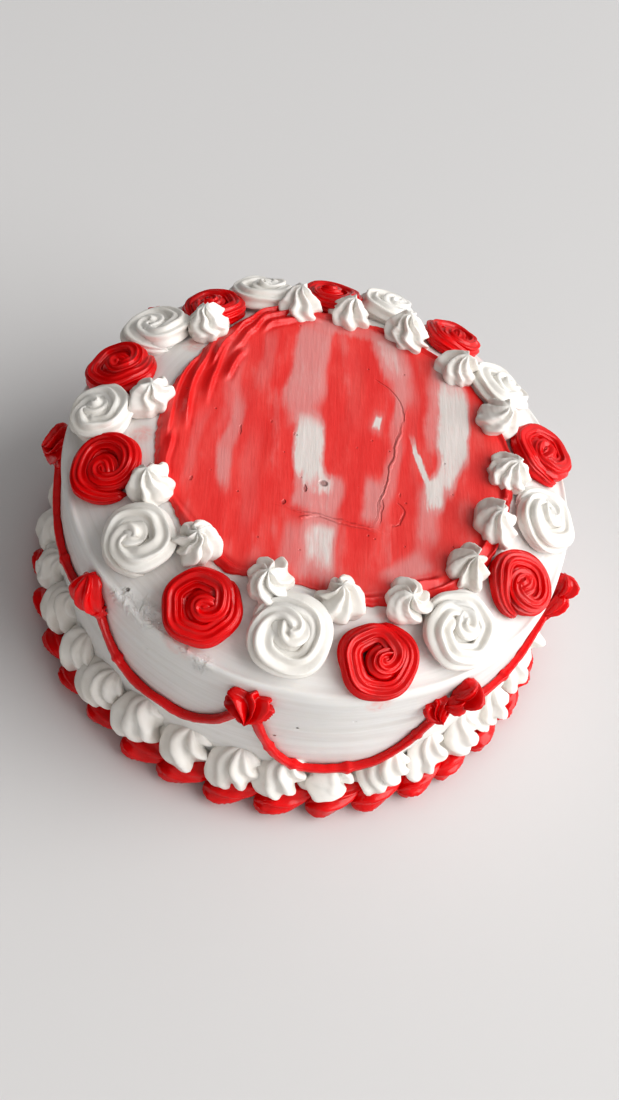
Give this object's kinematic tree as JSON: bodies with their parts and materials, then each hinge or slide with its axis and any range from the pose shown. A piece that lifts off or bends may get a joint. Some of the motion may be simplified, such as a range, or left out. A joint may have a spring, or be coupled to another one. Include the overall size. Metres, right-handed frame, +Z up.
{
  "type": "layer cake",
  "caption": "Round iced layer cake with a smear of red icing on top, a ring of piped rosettes and star drops, hung swags with small roses round the side and shell borders at the foot.",
  "frame": {"origin": "centre of the cake's flat underside, on the surface that it stands on", "axes": "+Z up; the pictured front faces -Y"},
  "size_m": [0.2391, 0.2387, 0.1115],
  "materials": {
    "white_icing": "satin",
    "red_icing": "satin",
    "smeared_icing": "satin"
  },
  "bodies": {
    "root": {"iced_cake": "white_icing", "red_smear": "smeared_icing", "rosette_red_02": "red_icing", "rosette_red_04": "red_icing", "rosette_red_06": "red_icing", "rosette_red_08": "red_icing", "rosette_red_10": "red_icing", "rosette_red_12": "red_icing", "rosette_red_14": "red_icing", "rosette_red_16": "red_icing", "rosette_red_18": "red_icing", "rosette_white_01": "white_icing", "rosette_white_03": "white_icing", "rosette_white_05": "white_icing", "rosette_white_07": "white_icing", "rosette_white_09": "white_icing", "rosette_white_11": "white_icing", "rosette_white_13": "white_icing", "rosette_white_15": "white_icing", "rosette_white_17": "white_icing", "shells_red": "red_icing", "shells_white": "white_icing", "star_drop_01": "white_icing", "star_drop_02": "white_icing", "star_drop_03": "white_icing", "star_drop_04": "white_icing", "star_drop_05": "white_icing", "star_drop_06": "white_icing", "star_drop_07": "white_icing", "star_drop_08": "white_icing", "star_drop_09": "white_icing", "star_drop_10": "white_icing", "star_drop_11": "white_icing", "star_drop_12": "white_icing", "star_drop_13": "white_icing", "star_drop_14": "white_icing", "star_drop_15": "white_icing", "swag_rose_1": "red_icing", "swag_rose_2": "red_icing", "swag_rose_3": "red_icing", "swag_rose_4": "red_icing", "swag_rose_5": "red_icing", "swag_rose_6": "red_icing", "swag_rose_7": "red_icing", "swag_rose_8": "red_icing", "swag_rose_9": "red_icing", "swag_string_1": "red_icing", "swag_string_2": "red_icing", "swag_string_3": "red_icing", "swag_string_4": "red_icing", "swag_string_5": "red_icing", "swag_string_6": "red_icing", "swag_string_7": "red_icing", "swag_string_8": "red_icing", "swag_string_9": "red_icing"}
  },
  "joints": []
}
